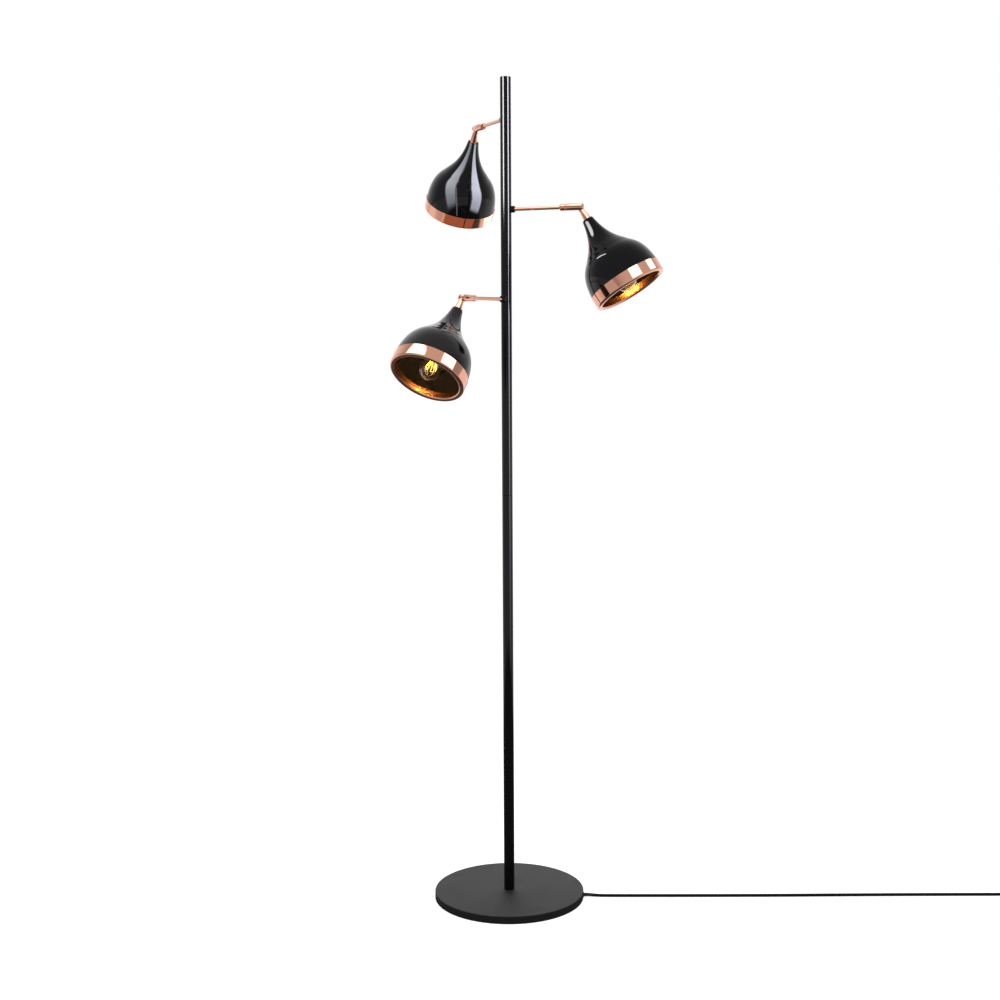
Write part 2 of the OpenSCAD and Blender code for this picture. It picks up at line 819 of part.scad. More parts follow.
// Straight for one diameter, then eased over to another height at the far end.
function lead(from, to, ease_from, ease_to) =
    [for (x = [0:5]) let (t = x / 5, e = (t - ease_from) / (ease_to - ease_from))
        [from.x + (to.x - from.x) * t, from.y, from.z + (to.z - from.z) * eased(e)]];
coil_start = [coil_x, switch_y, coil_low_z];
coil_end = [coil_x, plug_y, coil_high_z];
coil_path = concat(
    lead([switch_x + switch_reach, switch_y, switch_neck_z], coil_start, 0.2, 1),
    [for (k = [1:coil_loops * coil_rings - 1])
        let (turn = k / coil_rings, a = 360 * turn - 90)
        [coil_x + coil_radius(turn) * cos(a), coil_y + coil_radius(turn) * sin(a), coil_height(turn)]],
    lead(coil_end, [plug_x, plug_y, plug_z], 0, 0.8));
coil_gap = min([for (i = [0:len(coil_path) - 1], k = [i + coil_rings / 2:len(coil_path) - 1])
    norm(coil_path[i] - coil_path[k])]) - cord_d;
echo(least_gap_of_coil = coil_gap);

module cord_coil() {
    color(black_plastic)
        tube(coil_path, cord_r, 6);
}

module plug() {
    body_w = 35;
    body_t = 13.6;
    neck_w = 13;
    body_len = 33;
    relief_len = 20;
    corner = 3;
    color(black_plastic)
        translate([plug_x, plug_y, plug_z])
            rotate([0, 0, 180])
                union() {
                    cord_neck(relief_len + 1, cord_r + 1, 5.6);
                    intersection() {
                        translate([relief_len, 0, -body_t / 2])
                            linear_extrude(body_t)
                                polygon([[0, -neck_w / 2], [body_len * 0.62, -body_w / 2],
                                         [body_len - corner, -body_w / 2], [body_len, -body_w / 2 + corner],
                                         [body_len, body_w / 2 - corner], [body_len - corner, body_w / 2],
                                         [body_len * 0.62, body_w / 2], [0, neck_w / 2]]);
                        translate([relief_len, body_w, 0])
                            rotate([90, 0, 0])
                                linear_extrude(2 * body_w)
                                    polygon([[0, -body_t / 2 + corner], [corner * 2, -body_t / 2],
                                             [body_len - 1, -body_t / 2], [body_len, -body_t / 2 + 1],
                                             [body_len, body_t / 2 - 1], [body_len - 1, body_t / 2],
                                             [corner * 2, body_t / 2], [0, body_t / 2 - corner]]);
                    }
                }
}

module plug_pins() {
    pin_pitch = 18.6;
    pin_r = 2;
    pin_len = 19;
    body_end = 53;
    color(steel)
        translate([plug_x - body_end, plug_y, plug_z])
            for (side = [-1, 1])
                translate([0, side * pin_pitch / 2, 0])
                    rotate([0, -90, 0])
                        rotate_extrude()
                            polygon(concat(
                                [[0, 0], [pin_r, 0]],
                                arc([pin_r - 1, pin_len - 1], 1, 0, 90, 5),
                                [[0, pin_len]]));
}

base_cover();
base_weight();
base_pad();
base_stud();
base_washer();
base_nut();
cord_grommet();
cord_clamp();
pole_lower();
pole_joiner();
pole_upper();
pole_cap();
wiring();
boss(0);  // boss_upper
boss(1);  // boss_middle
boss(2);  // boss_lower
arm(0);  // arm_upper
arm(1);  // arm_middle
arm(2);  // arm_lower
collar(0);  // collar_upper
collar(1);  // collar_middle
collar(2);  // collar_lower
knuckle(0);  // knuckle_upper
knuckle(1);  // knuckle_middle
knuckle(2);  // knuckle_lower
pivot(0);  // pivot_upper
pivot(1);  // pivot_middle
pivot(2);  // pivot_lower
stem(0);  // stem_upper
stem(1);  // stem_middle
stem(2);  // stem_lower
neck_nut(0);  // neck_nut_upper
neck_nut(1);  // neck_nut_middle
neck_nut(2);  // neck_nut_lower
shade(0);  // shade_upper
shade(1);  // shade_middle
shade(2);  // shade_lower
rim_band(0);  // rim_band_upper
rim_band(1);  // rim_band_middle
rim_band(2);  // rim_band_lower
lamp_holder(0);  // lamp_holder_upper
lamp_holder(1);  // lamp_holder_middle
lamp_holder(2);  // lamp_holder_lower
bulb_glass(0);  // bulb_glass_upper
bulb_glass(1);  // bulb_glass_middle
bulb_glass(2);  // bulb_glass_lower
bulb_cap(0);  // bulb_cap_upper
bulb_cap(1);  // bulb_cap_middle
bulb_cap(2);  // bulb_cap_lower
filament(0);  // filament_upper
filament(1);  // filament_middle
filament(2);  // filament_lower
cord_run();
foot_switch();
switch_button();
cord_coil();
plug();
plug_pins();
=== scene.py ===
# %% [markdown]
# # A floor lamp with three spot heads
# This lesson dresses a floor lamp: a round weighted base, a straight black pole, and three spun black
# shades with polished copper bands, each on a short copper arm. The measured solids arrive from a packed
# frame. Here they get smooth surfaces, real finishes, a cord that lies on the floor, and studio light.

# %% The frame
import math

import bpy
from mathutils import Matrix, Vector
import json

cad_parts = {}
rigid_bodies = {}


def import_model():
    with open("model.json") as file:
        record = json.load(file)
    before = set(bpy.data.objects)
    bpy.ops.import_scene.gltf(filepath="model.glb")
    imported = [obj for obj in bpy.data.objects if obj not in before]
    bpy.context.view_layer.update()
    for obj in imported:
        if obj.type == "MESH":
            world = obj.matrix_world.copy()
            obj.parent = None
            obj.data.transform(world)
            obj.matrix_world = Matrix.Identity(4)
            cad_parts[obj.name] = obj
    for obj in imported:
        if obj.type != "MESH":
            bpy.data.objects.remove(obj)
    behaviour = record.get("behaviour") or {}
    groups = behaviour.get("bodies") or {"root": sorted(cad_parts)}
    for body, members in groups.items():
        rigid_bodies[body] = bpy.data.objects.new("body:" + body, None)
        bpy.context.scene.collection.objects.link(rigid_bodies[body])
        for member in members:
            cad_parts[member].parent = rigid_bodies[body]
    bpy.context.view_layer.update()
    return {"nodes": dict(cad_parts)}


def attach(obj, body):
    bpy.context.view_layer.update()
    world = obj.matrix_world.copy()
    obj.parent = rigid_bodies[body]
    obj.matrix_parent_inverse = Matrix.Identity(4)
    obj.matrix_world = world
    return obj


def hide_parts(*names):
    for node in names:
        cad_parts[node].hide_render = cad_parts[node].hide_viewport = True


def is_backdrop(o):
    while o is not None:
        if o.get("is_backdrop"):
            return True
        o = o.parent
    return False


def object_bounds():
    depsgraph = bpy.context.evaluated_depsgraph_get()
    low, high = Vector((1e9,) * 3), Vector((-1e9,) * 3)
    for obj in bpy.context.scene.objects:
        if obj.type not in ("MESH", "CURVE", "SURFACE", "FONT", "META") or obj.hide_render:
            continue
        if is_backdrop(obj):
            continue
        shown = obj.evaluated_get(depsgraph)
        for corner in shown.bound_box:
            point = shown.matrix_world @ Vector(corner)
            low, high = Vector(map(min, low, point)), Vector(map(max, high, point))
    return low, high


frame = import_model()

# %% [markdown]
# ## The camera
# The picture is taken from three metres away, at about the height of the lowest head, with the camera
# pointing six degrees down. Its axes are worked out from three angles, and a matrix carries them to
# the camera object. A square picture of 1000 pixels makes the lens a sum: focal length in pixels
# times the 36 mm sensor over 1000.

# %% Camera
PICTURE = 1000
FOCAL_PIXELS = 1509.4
SENSOR_MM = 36
CAMERA_AT = (-0.01168, -2.95629, 1.13533)
PITCH, YAW, ROLL = 6.3132, -0.0574, 0.315

pitch, yaw, roll = (math.radians(a) for a in (PITCH, YAW, ROLL))

forward = Vector((math.sin(yaw) * math.cos(pitch), math.cos(yaw) * math.cos(pitch),
                  -math.sin(pitch)))
level = Vector((math.cos(yaw), -math.sin(yaw), 0))
down = forward.cross(level)
across = level * math.cos(roll) + down * math.sin(roll)
up = level * math.sin(roll) - down * math.cos(roll)

lens = bpy.data.cameras.new("camera")
lens.sensor_width = SENSOR_MM
lens.lens = FOCAL_PIXELS * lens.sensor_width / PICTURE
camera = bpy.data.objects.new("camera", lens)
bpy.context.scene.collection.objects.link(camera)
camera.matrix_world = Matrix.Translation(CAMERA_AT) @ Matrix(
    (across, up, -forward)).transposed().to_4x4()
bpy.context.scene.camera = camera
print(f"lens {lens.lens:.1f} mm")

# %% [markdown]
# ## Small tools
# Blender's operators work on what is selected, so the first tool selects one piece and nothing else.
# Sizes are written in millimetres, as on a drawing, and `MM` turns them to metres. Points of a mesh
# that lie closer than `MERGE` are one point, and no ring is narrower than `LEAST_R`.

# %% Selecting and finishing a mesh
MM = 0.001
MERGE, MERGE_FINE = 5e-6, 2e-6
LEAST_R = 0.002


def pick(piece):
    bpy.ops.object.select_all(action="DESELECT")
    piece.select_set(True)
    bpy.context.view_layer.objects.active = piece


def with_modifier(piece, kind, **settings):
    pick(piece)
    bpy.ops.object.modifier_add(type=kind)
    modifier = piece.modifiers[-1]
    for name, value in settings.items():
        setattr(modifier, name, value)
    bpy.ops.object.modifier_apply(modifier=modifier.name)


def smooth(piece, angle=30):
    pick(piece)
    bpy.ops.object.shade_smooth_by_angle(angle=math.radians(angle))


def settle(piece):
    """Puts the object's place and turn into its mesh, so that the object sits at the origin."""
    pick(piece)
    bpy.ops.object.transform_apply(location=True, rotation=True, scale=True)


def show(piece):
    size = piece.dimensions / MM
    print(f"{piece.name}: {len(piece.data.polygons)} faces, "
          f"{size.x:.0f} x {size.y:.0f} x {size.z:.0f} mm")


# %% [markdown]
# Nearly every piece of this lamp is turned or spun, so one tool does most of the modelling. It starts
# from a circle at the first point of an outline, then extrudes the ring, slides it along the axis and
# scales it to the next radius, as one would by hand with E, G, Z and S. An outline that comes back to
# its start gives a closed solid with a wall, and one that starts or ends on the axis is closed there.
# The turning also lays a UV map: U goes round, and V is the length along the outline in metres.

# %% Turning a ring of points along an outline
def turned(name, outline, steps=96, angle=30, closed=True):
    points = [(max(r, LEAST_R) * MM, z * MM) for r, z in outline]
    if closed and outline[0][0] > 0:
        points.append(points[0])
    bpy.ops.object.select_all(action="DESELECT")
    r, z = points[0]
    bpy.ops.mesh.primitive_circle_add(vertices=steps, radius=r, location=(0, 0, z))
    piece = bpy.context.object
    piece.name = piece.data.name = name
    bpy.ops.object.mode_set(mode="EDIT")
    bpy.ops.mesh.select_all(action="SELECT")
    for new_r, new_z in points[1:]:
        bpy.ops.mesh.extrude_edges_move(TRANSFORM_OT_translate={"value": (0, 0, new_z - z)})
        bpy.ops.transform.resize(value=(new_r / r, new_r / r, 1), center_override=(0, 0, new_z))
        r, z = new_r, new_z
    bpy.ops.mesh.select_all(action="SELECT")
    bpy.ops.mesh.remove_doubles(threshold=MERGE)
    bpy.ops.mesh.normals_make_consistent(inside=False)
    bpy.ops.object.mode_set(mode="OBJECT")
    settle(piece)
    lay_uv(piece, points)
    smooth(piece, angle)
    return piece


def lay_uv(piece, points):
    """U from the angle, V from the nearest point of the outline."""
    run, lengths = 0, []
    for i, point in enumerate(points):
        run += math.dist(point, points[i - 1]) if i else 0
        lengths.append(run)
    layer = piece.data.uv_layers.new(name="turning")
    for face in piece.data.polygons:
        mid = math.atan2(face.center.y, face.center.x)
        for loop in face.loop_indices:
            co = piece.data.vertices[piece.data.loops[loop].vertex_index].co
            angle = math.atan2(co.y, co.x)
            angle += round((mid - angle) / math.tau) * math.tau
            near = min(range(len(points)),
                       key=lambda i: math.dist(points[i], (math.hypot(co.x, co.y), co.z)))
            layer.data[loop].uv = (angle / math.tau, lengths[near])


# %% [markdown]
# The knuckles and stems have slots and flats that a lathe can't make, and the frame already has them
# to the tenth of a millimetre. Such a piece starts from a copy of the frame's mesh. The copy's loose
# triangles are merged, and flat faces are joined up again. Where a bevel is given, sharp edges are
# broken by it, as a file would, so that they catch light.

# %% A fair copy of a piece of the frame
FLAT_DEGREES = 0.6


def fair_copy(node, name, bevel=0.0, angle=30, segments=2):
    piece = bpy.data.objects.new(name, frame["nodes"][node].data.copy())
    bpy.context.scene.collection.objects.link(piece)
    pick(piece)
    bpy.ops.object.mode_set(mode="EDIT")
    bpy.ops.mesh.select_all(action="SELECT")
    bpy.ops.mesh.remove_doubles(threshold=MERGE_FINE)
    bpy.ops.mesh.dissolve_limited(angle_limit=math.radians(FLAT_DEGREES))
    bpy.ops.object.mode_set(mode="OBJECT")
    if bevel:
        with_modifier(piece, "BEVEL", width=bevel * MM, segments=segments, limit_method="ANGLE",
                      angle_limit=math.radians(angle), use_clamp_overlap=True, harden_normals=False)
    smooth(piece, angle)
    return piece


# %% [markdown]
# ## The three arms and heads
# The arms stand one above the other, a fixed step apart, and point to three sides. Each head hangs
# from the fork at the arm's end and leans outwards by its own angle. Two matrices per arm say this once,
# and every copy of an arm or head piece is carried to its place by one of them.

# %% Places
SIDES = ("upper", "middle", "lower")
POLE_TOP, POLE_R, SEAM_Z = 1622, 10.5, 818
ARM_TOP_Z, ARM_STEP, ARM_LEN, ARM_R = 1543.5, 171.5, 150, 3.5
ARM_TURN = (113, -22, -123)
HEAD_TILT = (32, 33, 39)
NECK_DROP = 29

arm_place, head_place = [], []
for i, side in enumerate(SIDES):
    turn = Matrix.Rotation(math.radians(ARM_TURN[i]), 4, "Z")
    root = Matrix.Translation((0, 0, (ARM_TOP_Z - i * ARM_STEP) * MM)) @ turn
    arm_place.append(root @ Matrix.Rotation(math.radians(90), 4, "Y"))
    hinge = root @ Matrix.Translation((ARM_LEN * MM, 0, 0)) @ Matrix.Rotation(
        math.radians(-HEAD_TILT[i]), 4, "Y")
    head_place.append(hinge @ Matrix.Translation((0, 0, -NECK_DROP * MM)))
    print(side, "head hangs from", [round(v / MM) for v in hinge.translation])

# %% [markdown]
# A piece that repeats is modelled once, standing at the origin. This tool then makes three copies, each
# with its own mesh, moves them to the arms or the heads, hides the solid that each stands for, and
# lets it ride on the right body.

# %% One model, three copies
def three_copies(model, name, places, body, nodes):
    for side, place in zip(SIDES, places):
        mesh = model.data.copy()
        mesh.transform(place)
        piece = bpy.data.objects.new(f"{name}_{side}", mesh)
        bpy.context.scene.collection.objects.link(piece)
        stand_for(piece, body.format(side), [n.format(side) for n in nodes])
    bpy.data.objects.remove(model)
    show(piece)


def stand_for(piece, body, nodes):
    if nodes:
        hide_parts(*nodes)
    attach(piece, body)


# %% [markdown]
# ## Colours and nodes
# Colours are written as the sRGB hex values that one reads off a screen, and one function turns them
# to the linear numbers that Blender's sockets take. A second function adds any node with its settings
# and its inputs, which are values or other nodes' outputs.

# %% Colour and node tools
def linear(code):
    parts = [int(code[i:i + 2], 16) / 255 for i in (1, 3, 5)]
    return tuple(c / 12.92 if c <= 0.04045 else ((c + 0.055) / 1.055) ** 2.4 for c in parts) + (1.0,)


def add_node(tree, kind, inputs=None, **settings):
    node = tree.nodes.new(kind)
    for name, value in settings.items():
        setattr(node, name, value)
    for socket, value in (inputs or {}).items():
        if isinstance(value, bpy.types.NodeSocket):
            tree.links.new(value, node.inputs[socket])
        else:
            node.inputs[socket].default_value = value
    return node


def new_finish(name, **values):
    """A material with its Principled shader, whose sockets are set by name."""
    material = bpy.data.materials.new(name)
    material.use_nodes = True
    tree = material.node_tree
    tree.nodes.clear()
    shader = add_node(tree, "ShaderNodeBsdfPrincipled",
                      {key.replace("_", " ").title().replace("Ior", "IOR"): value
                       for key, value in values.items()})
    add_node(tree, "ShaderNodeOutputMaterial", {"Surface": shader.outputs[0]})
    return material


def shader_of(material):
    tree = material.node_tree
    return tree, next(node for node in tree.nodes if node.type == "BSDF_PRINCIPLED")


def paint(piece, material):
    piece.data.materials.clear()
    piece.data.materials.append(material)


# %% [markdown]
# ## Finish: gloss black stove enamel
# The pole, the bosses and the shades are steel with a gloss black enamel, sprayed and baked. To the eye
# it is black glass: nearly no colour of its own and clear reflections, which wave a little because a
# sprayed coat keeps an orange peel about 6 mm from bump to bump.

# %% Gloss black enamel
BUMP_DEPTH = 0.0001


def orange_peel(material, spacing_mm, strength):
    """Soft bumps of one spacing on Object coordinates."""
    tree, shader = shader_of(material)
    where = add_node(tree, "ShaderNodeTexCoord")
    noise = add_node(tree, "ShaderNodeTexNoise",
                     {"Vector": where.outputs["Object"], "Scale": 1000 / spacing_mm, "Detail": 1.0})
    bump = add_node(tree, "ShaderNodeBump",
                    {"Height": noise.outputs[0], "Strength": strength, "Distance": BUMP_DEPTH})
    tree.links.new(bump.outputs[0], shader.inputs["Normal"])


def uneven_gloss(material, spacing_mm, low, high):
    """Roughness that drifts between two values in soft patches."""
    tree, shader = shader_of(material)
    where = add_node(tree, "ShaderNodeTexCoord")
    cloud = add_node(tree, "ShaderNodeTexNoise",
                     {"Vector": where.outputs["Object"], "Scale": 1000 / spacing_mm, "Detail": 3.0})
    patches = add_node(tree, "ShaderNodeMapRange",
                       {"Value": cloud.outputs[0], "To Min": low, "To Max": high})
    tree.links.new(patches.outputs[0], shader.inputs["Roughness"])


enamel = new_finish("gloss_black_stove_enamel", base_color=linear("#09080C"), roughness=0.07,
                    ior=1.5, specular_ior_level=0.3)
orange_peel(enamel, 6, 0.01)
print(enamel.name)

# %% [markdown]
# ## Finish: satin black powder coat
# The base is sheet steel with a satin powder coat, melted on in the oven. The grains flow together into
# a fine, even texture, which scatters the light, so the flat top looks dark grey at a low angle and the
# side stays darker. The real grain is about 0.4 mm and wouldn't show, so it is drawn at 1.2 mm.

# %% Satin black powder coat
powder = new_finish("satin_black_powder_coat", base_color=linear("#100F11"), roughness=0.7,
                    ior=1.5, specular_ior_level=0.5)
orange_peel(powder, 1.2, 0.3)
uneven_gloss(powder, 45, 0.64, 0.72)
print(powder.name)

# %% [markdown]
# ## Finish: polished copper plate
# Arms, knuckles, stems and bands are steel, plated with copper, polished and lacquered. Copper colours
# its reflections, so the base colour is its reflection straight on, and the shader whitens it towards
# the edges by itself. Polishing leaves faint rubbed patches, drawn as a slow change of roughness. The
# inside of the bands is never polished and keeps the dull gloss of rolled sheet.

# %% Polished copper plate
copper = new_finish("polished_copper_plate", base_color=linear("#EAAB91"), metallic=1.0,
                    roughness=0.06)
uneven_gloss(copper, 12, 0.03, 0.08)
rolled = new_finish("rolled_copper", base_color=linear("#D98F6E"), metallic=1.0, roughness=0.16)
print(copper.name, rolled.name)

# %% [markdown]
# ## Finishes of the small and hidden pieces
# Cast iron, zinc-plated steel and nickel are told apart by their grain and gloss. The plastics are
# injection moulded: the switch and plug have a fine spark-eroded texture, the bulb holder is plain
# phenolic resin, and the cord is soft PVC, smooth from the extruder. The pad is closed-cell foam.

# %% Metals and plastics
iron = new_finish("cast_iron_as_cast", base_color=linear("#4A4A4C"), metallic=0.6, roughness=0.7)
orange_peel(iron, 1.5, 1.0)
zinc = new_finish("zinc_plated_steel", base_color=linear("#B9BDC2"), metallic=1.0, roughness=0.32)
orange_peel(zinc, 2.0, 0.3)
nickel = new_finish("nickel_plated_brass", base_color=linear("#C9C5BC"), metallic=1.0,
                    roughness=0.22)
moulded = new_finish("moulded_black_abs", base_color=linear("#151516"), roughness=0.42, ior=1.53)
orange_peel(moulded, 0.8, 0.6)
button_abs = new_finish("polished_black_abs", base_color=linear("#1A1A1C"), roughness=0.25,
                        ior=1.53)
orange_peel(button_abs, 3.0, 0.15)
pvc = new_finish("soft_black_pvc", base_color=linear("#121213"), roughness=0.65, ior=1.53,
                 specular_ior_level=0.1)
orange_peel(pvc, 2.5, 0.3)
phenolic = new_finish("phenolic_resin", base_color=linear("#17130F"), roughness=0.3, ior=1.6)
orange_peel(phenolic, 2.0, 0.2)
foam = new_finish("closed_cell_foam", base_color=linear("#1E1E1F"), roughness=0.95, ior=1.45)
orange_peel(foam, 1.5, 1.0)

# %% [markdown]
# ## Finishes of the bulb
# The bulb is clear soda-lime glass, and its filament wires glow at the colour of warm lamplight. The
# shader's emission gives the glow that the camera sees. Most of the light inside the shades comes from
# the small lamps near the end of this lesson.

# %% Glass and glowing wire
glass = new_finish("clear_soda_lime_glass", base_color=linear("#FFFFFF"), roughness=0.0, ior=1.5,
                   transmission_weight=1.0)
glowing = new_finish("glowing_filament", base_color=linear("#FFB347"), roughness=0.5,
                     emission_color=linear("#FFBE3C"), emission_strength=10.0)

# %% [markdown]
# ## The base
# The base is a pressed cover over an iron disc, standing on foam. Its solids are right as they are, so
# the small and hidden ones only get their finish. The cover is seen all round, so it becomes a fair
# copy whose rolled edge shades smoothly.

# %% Base
for node, material in {"base_weight": iron, "base_pad": foam, "base_stud": zinc, "base_washer": zinc,
                       "base_nut": zinc, "pole_joiner": zinc, "cord_grommet": moulded,
                       "cord_clamp": moulded, "wiring": pvc}.items():
    paint(frame["nodes"][node], material)

cover = fair_copy("base_cover", "cover_pressed", angle=25)
paint(cover, powder)
stand_for(cover, "stand", ["base_cover"])
show(cover)

# %% [markdown]
# ## The pole
# Two lengths of tube screw together at mid height, where a fine chamfered line shows, and a pressed cap
# closes the top. They are turned with 96 steps, because the tall reflections on a gloss tube show every
# facet.

# %% Pole
BASE_H, HOLE_R, CHAMFER = 15.5, 6.02, 0.5
CAP_RIM, CAP_PLUG, CAP_PLUG_R, CAP_ROUND = 2, 9, 8.98, 0.8
TUBE_TOP = POLE_TOP - CAP_RIM

lower_tube = turned("pole_tube_lower", [
    (HOLE_R, BASE_H), (POLE_R, BASE_H), (POLE_R, SEAM_Z - CHAMFER), (POLE_R - CHAMFER, SEAM_Z),
    (HOLE_R, SEAM_Z)])
upper_tube = turned("pole_tube_upper", [
    (HOLE_R, SEAM_Z), (POLE_R - CHAMFER, SEAM_Z), (POLE_R, SEAM_Z + CHAMFER), (POLE_R, TUBE_TOP),
    (HOLE_R, TUBE_TOP)])
rim = [(POLE_R - CAP_ROUND + CAP_ROUND * math.cos(a), POLE_TOP - CAP_ROUND + CAP_ROUND * math.sin(a))
       for a in (math.radians(15 * k) for k in range(7))]
cap = turned("pole_end_cap", [
    (0, TUBE_TOP - CAP_PLUG), (CAP_PLUG_R, TUBE_TOP - CAP_PLUG), (CAP_PLUG_R, TUBE_TOP),
    (POLE_R, TUBE_TOP), *rim, (6, POLE_TOP), (0, POLE_TOP)])
for piece, node in ((lower_tube, "pole_lower"), (upper_tube, "pole_upper"), (cap, "pole_cap")):
    paint(piece, enamel)
    stand_for(piece, "stand", [node])
    show(piece)

# %% [markdown]
# ## Bosses, arms and collars
# A black boss on the pole holds each thin copper arm. The collar is the first ring of the knuckle: a
# fine groove, ten millimetres in, parts the two, and they turn on the arm together. All three are made
# by turning along the arm, measured from the pole's axis.

# %% Bosses, arms, collars
KNUCKLE_R, KNUCKLE_LEN, COLLAR_LEN = 6.7, 39, 10
BOSS_R, BOSS_HOLE_R, BOSS_FROM, BOSS_TO = 6.5, 3.52, 9.6, 18.5
ARM_BORE_R, ARM_FROM, ARM_TO = 2.5, 9.2, 131.1
COLLAR_HOLE_R, SHANK_R, SHANK_LEN, GROOVE_R, GROOVE_W = 3.55, 4.98, 7, 6.2, 0.6

boss = turned("boss", [
    (BOSS_HOLE_R, BOSS_FROM), (BOSS_R, BOSS_FROM), (BOSS_R, 17), (6.3, 17.35), (5.2, 18.4),
    (4.9, BOSS_TO), (BOSS_HOLE_R, BOSS_TO)])
paint(boss, enamel)
three_copies(boss, "boss_turned", arm_place, "stand", ["boss_{}"])

arm = turned("arm", [
    (ARM_BORE_R, ARM_FROM), (ARM_R, ARM_FROM), (ARM_R, ARM_TO), (ARM_BORE_R, ARM_TO)], 48)
paint(arm, copper)
three_copies(arm, "arm_tube", arm_place, "stand", ["arm_{}"])

start = ARM_LEN - KNUCKLE_LEN
end = start + COLLAR_LEN
collar = turned("collar", [
    (COLLAR_HOLE_R, start), (5.3, start), (5.6, start + 0.1), (6.6, start + 1.1),
    (KNUCKLE_R, start + 1.4), (KNUCKLE_R, end - 0.8), (KNUCKLE_R - 0.15, end - GROOVE_W),
    (GROOVE_R, end - GROOVE_W), (GROOVE_R, end), (SHANK_R, end), (SHANK_R, end + SHANK_LEN),
    (COLLAR_HOLE_R, end + SHANK_LEN)])
paint(collar, copper)
three_copies(collar, "collar_turned", arm_place, "knuckle_body_{}", ["collar_{}"])

# %% [markdown]
# ## Knuckles, pivots and stems
# The knuckle's fork holds the stem's tongue, and a flush pin crosses both. These come from the frame as
# fair copies, with their sharp edges broken by 0.15 to 0.25 mm.

# %% Knuckles, pivots, stems
for side in SIDES:
    for node, name, body, bevel in (("knuckle", "knuckle_fork", "knuckle_body", 0.25),
                                    ("pivot", "pivot_pin", "knuckle_body", 0.15),
                                    ("stem", "stem_tongue", "head_body", 0.2)):
        piece = fair_copy(f"{node}_{side}", f"{name}_{side}", bevel=bevel, angle=32)
        paint(piece, copper)
        stand_for(piece, f"{body}_{side}", [f"{node}_{side}"])
        if side == "upper":
            show(piece)

# %% [markdown]
# ## The spun shade
# The shade is spun from one disc of steel: hollow from the neck to the waist, then round to the band.
# Two Bezier curves that meet with one slope give that outline. The wall is one millimetre, so the inner
# line runs beside the outer one, and a plate across the neck holds the stem.

# %% Shade outline
def bezier(p, t):
    weights = ((1 - t) ** 3, 3 * (1 - t) ** 2 * t, 3 * (1 - t) * t * t, t ** 3)
    return tuple(sum(w * q[k] for w, q in zip(weights, p)) for k in (0, 1))


def beside(point, length, angle):
    """The point that lies this far from another, at an angle from the shade's axis."""
    a = math.radians(angle)
    return point[0] + length * math.sin(a), point[1] + length * math.cos(a)


NECK, WAIST, EDGE = (10.8, 0), (45, 71.5), (71.2, 135.5)
RIM_S, BAND_OUT_R, RIM_R, FOLD = 159.5, 72.05, 71.6, 4.2
WAIST_SLOPE, SHADE_WALL, TUCKED_IN = 38, 1, 12
PLATE_TOP_S, PLATE_UNDER_S = 3, 5.2
PARTS = 24
LEAN = (BAND_OUT_R - RIM_R) / (RIM_S - FOLD - EDGE[1])

flare = (NECK, beside(NECK, 47, 9), beside(WAIST, -14, WAIST_SLOPE), WAIST)
dome = (WAIST, beside(WAIST, 13, WAIST_SLOPE), beside(EDGE, -45, 3), EDGE)
outer = [bezier(flare, i / PARTS) for i in range(PARTS)]
outer += [bezier(dome, i / PARTS) for i in range(PARTS + 1)]
outer.append((EDGE[0] - TUCKED_IN * LEAN, EDGE[1] + TUCKED_IN))


def offset(line, wall):
    moved = []
    for i, (r, s) in enumerate(line):
        (r0, s0), (r1, s1) = line[max(i - 1, 0)], line[min(i + 1, len(line) - 1)]
        size = math.hypot(r1 - r0, s1 - s0)
        moved.append((r - wall * (s1 - s0) / size, s + wall * (r1 - r0) / size))
    return moved


inner = [p for p in offset(outer, SHADE_WALL) if p[1] > PLATE_UNDER_S + SHADE_WALL]
print("outline points:", len(outer), "inside:", len(inner))

# %% [markdown]
# The outline goes down the outside, up the inside, under the neck plate and round the recess. The neck's
# top edge is rolled a little, as spinning leaves it.

# %% Shades
NIPPLE_HOLE_R, RECESS_R = 5.02, 8.5

rolled_edge = [(9.6, 0), (10.4, 0.0), (10.7, 0.15), (10.85, 0.5)]
plate = [(inner[0][0] - 0.15, PLATE_UNDER_S), (NIPPLE_HOLE_R, PLATE_UNDER_S),
         (NIPPLE_HOLE_R, PLATE_TOP_S), (RECESS_R, PLATE_TOP_S), (RECESS_R, 0.4), (8.8, 0.1)]
shade_line = rolled_edge + outer[1:] + inner[::-1] + plate
shade = turned("shade", [(r, -s) for r, s in shade_line], 128, angle=40)
paint(shade, enamel)
three_copies(shade, "shade_spun", head_place, "head_body_{}", ["shade_{}"])

# %% [markdown]
# ## The copper band
# The band is one folded sheet: down the outside over the shade's edge, round the rim, and fifteen
# millimetres up inside. Two wide folds make the rim a nearly half-round lip, which is why it shows thin
# light and dark rings.

# %% Bands
BAND_S, LIP_R, LIP_DEPTH, SHEET = EDGE[1], 61.5, 15, 0.8


def fold(centre_r, r, start):
    angles = [math.radians(start + 7.5 * k) for k in range(13)]
    return [(centre_r + r * math.cos(a), RIM_S - FOLD + r * math.sin(a)) for a in angles]


def skin(inset):
    return ([(BAND_OUT_R - inset, BAND_S + 0.2 * (inset > 0))] + fold(RIM_R - FOLD, FOLD - inset, 0)
            + fold(LIP_R + FOLD, FOLD - inset, 90) + [(LIP_R + 1 + inset, RIM_S - LIP_DEPTH)])


